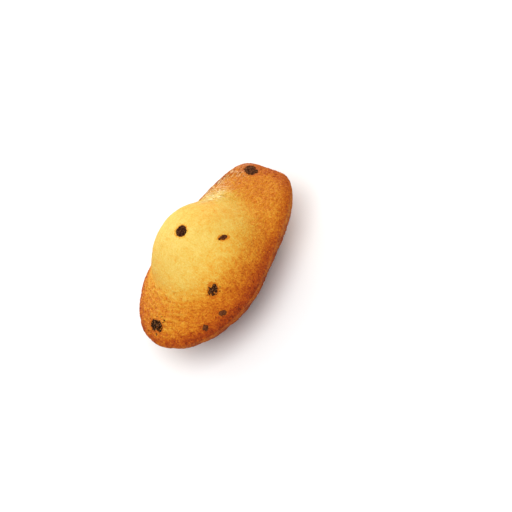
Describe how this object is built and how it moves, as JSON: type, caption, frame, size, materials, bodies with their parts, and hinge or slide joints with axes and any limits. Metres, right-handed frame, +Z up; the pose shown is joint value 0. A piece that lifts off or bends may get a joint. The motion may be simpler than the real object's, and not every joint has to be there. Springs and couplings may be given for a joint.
{
  "type": "madeleine cake",
  "caption": "Small sponge cake baked in a ribbed shell mould, lying on its shell with the humped face up, with chocolate chips in its crust.",
  "frame": {"origin": "under the middle of the cake's box, on the surface that the shell rests on", "axes": "+Z up, out of the humped face; +Y along the cake, towards its narrow end; X across it"},
  "size_m": [0.0468, 0.078, 0.0358],
  "materials": {
    "crust": "satin"
  },
  "bodies": {
    "root": {"cake": "crust"}
  },
  "joints": []
}
